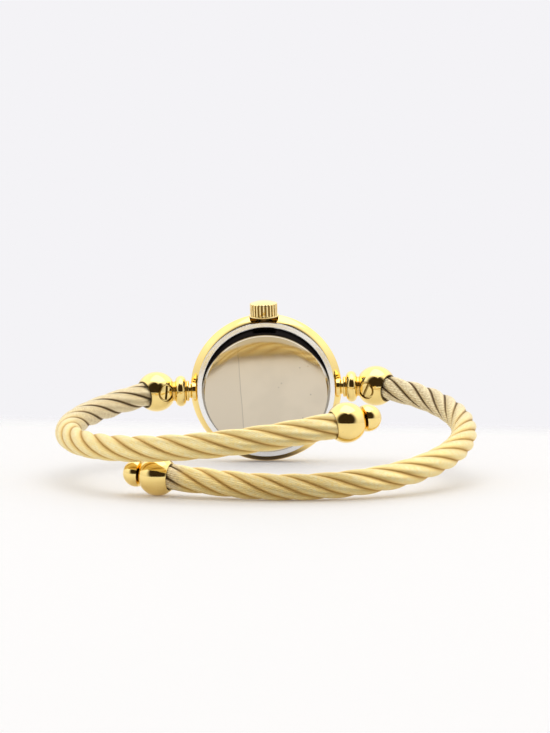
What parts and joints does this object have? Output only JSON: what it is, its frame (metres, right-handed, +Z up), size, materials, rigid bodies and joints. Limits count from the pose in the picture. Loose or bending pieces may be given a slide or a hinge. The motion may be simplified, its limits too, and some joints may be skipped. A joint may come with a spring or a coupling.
{
  "type": "bangle watch",
  "caption": "Small round wristwatch head between two ball sockets that hold sprung twisted-cable arms, which bypass each other as an open bangle.",
  "frame": {"origin": "middle of the bounding box, on the table that the watch stands on", "axes": "+X towards 12 o'clock across the watch, +Y towards the dial, away from the wrist opening, +Z up, towards the crown"},
  "size_m": [0.0665, 0.0597, 0.027],
  "materials": {
    "gold_polished": "polished gold plate",
    "gold_cable": "satin gold plate on twisted wire",
    "steel_polished": "polished stainless steel",
    "steel_plain": "plain steel",
    "crystal": "clear mineral glass",
    "dial_paint": "satin painted dial",
    "movement_brass": "matt nickelled brass",
    "wheel_brass": "gilt brass",
    "plastic": "matt moulded plastic",
    "rubber": "black rubber",
    "copper": "enamelled copper wire",
    "battery_steel": "nickelled steel can",
    "circuit": "lacquered circuit board",
    "black_plastic": "black moulding",
    "magnet": "sintered magnet"
  },
  "bodies": {
    "head": {"ball_socket_left": "gold_polished", "ball_socket_right": "gold_polished", "battery": "battery_steel", "battery_clamp": "steel_plain", "bezel": "gold_polished", "cable_plug_left": "steel_plain", "cable_plug_right": "steel_plain", "case_middle": "gold_polished", "caseback": "steel_polished", "caseback_gasket": "rubber", "chip": "black_plastic", "circuit_board": "circuit", "coil": "copper", "coil_core": "steel_plain", "crown_tube": "gold_polished", "crystal": "crystal", "crystal_gasket": "rubber", "dial": "dial_paint", "hour_markers": "wheel_brass", "lug_stem_left": "gold_polished", "lug_stem_right": "gold_polished", "main_plate": "movement_brass", "minute_wheel_stud": "steel_plain", "movement_holder": "plastic", "movement_screws": "steel_plain", "quartz_can": "steel_plain", "socket_screw_left": "gold_polished", "socket_screw_right": "gold_polished", "stator": "steel_plain", "train_bridge": "movement_brass"},
    "stem_puller": {"pull_plate": "steel_plain"},
    "crown_and_stem": {"crown": "gold_polished", "crown_gasket": "rubber", "clutch": "steel_plain", "winding_stem": "steel_plain"},
    "minute_arbor": {"centre_wheel": "wheel_brass", "cannon_pinion": "wheel_brass", "minute_hand": "wheel_brass"},
    "hour_arbor": {"hour_wheel": "wheel_brass", "hour_hand": "wheel_brass"},
    "motion_wheel": {"minute_wheel": "wheel_brass"},
    "third_arbor": {"third_wheel": "wheel_brass"},
    "intermediate_arbor": {"intermediate_wheel": "wheel_brass"},
    "rotor_arbor": {"rotor": "magnet"},
    "arm_left": {"cable_left": "gold_cable", "core_wire_left": "steel_plain", "finial_ball_left": "gold_polished", "finial_tip_left": "gold_polished"},
    "arm_right": {"cable_right": "gold_cable", "core_wire_right": "steel_plain", "finial_ball_right": "gold_polished", "finial_tip_right": "gold_polished"}
  },
  "joints": [
    {"name": "minute_turn", "type": "hinge", "parent": "head", "child": "minute_arbor", "pos_m": [0, 0.02514, 0.01228], "axis": [0, -0.9888, -0.1495], "continuous": true},
    {"name": "hour_turn", "type": "hinge", "parent": "head", "child": "hour_arbor", "pos_m": [0, 0.02514, 0.01228], "axis": [0, -0.9888, -0.1495], "continuous": true},
    {"name": "motion_wheel_turn", "type": "hinge", "parent": "head", "child": "motion_wheel", "pos_m": [-0.00006, 0.02484, 0.01426], "axis": [0, -0.9888, -0.1495], "continuous": true},
    {"name": "third_turn", "type": "hinge", "parent": "head", "child": "third_arbor", "pos_m": [0.00202, 0.02543, 0.01037], "axis": [0, -0.9888, -0.1495], "continuous": true},
    {"name": "intermediate_turn", "type": "hinge", "parent": "head", "child": "intermediate_arbor", "pos_m": [0.00157, 0.02574, 0.00828], "axis": [0, -0.9888, -0.1495], "continuous": true},
    {"name": "rotor_turn", "type": "hinge", "parent": "head", "child": "rotor_arbor", "pos_m": [0.00269, 0.02583, 0.00768], "axis": [0, -0.9888, -0.1495], "continuous": true},
    {"name": "crown_pull", "type": "slide", "parent": "head", "child": "stem_puller", "axis": [-0.0286, -0.1495, 0.9884], "range_m": [0, 0.0006]},
    {"name": "crown_turn", "type": "hinge", "parent": "stem_puller", "child": "crown_and_stem", "pos_m": [0, 0.02494, 0.01225], "axis": [-0.0286, -0.1495, 0.9884], "continuous": true},
    {"name": "arm_left_flex", "type": "hinge", "parent": "head", "child": "arm_left", "pos_m": [-0.02129, 0.02525, 0.01131], "axis": [0.1429, 0.0873, -0.9859], "range_deg": [0, 12], "stiffness_Nm_per_rad": 1.36},
    {"name": "arm_right_flex", "type": "hinge", "parent": "head", "child": "arm_right", "pos_m": [0.02132, 0.02509, 0.01284], "axis": [-0.0068, -0.2114, 0.9774], "range_deg": [0, 12], "stiffness_Nm_per_rad": 1.36}
  ],
  "couplings": [
    {"joint": "intermediate_turn", "follows": "rotor_turn", "ratio": -0.33333},
    {"joint": "third_turn", "follows": "rotor_turn", "ratio": 0.066667},
    {"joint": "minute_turn", "follows": "rotor_turn", "ratio": -0.011111},
    {"joint": "motion_wheel_turn", "follows": "rotor_turn", "ratio": 0.0037037},
    {"joint": "hour_turn", "follows": "rotor_turn", "ratio": -0.00092593}
  ]
}
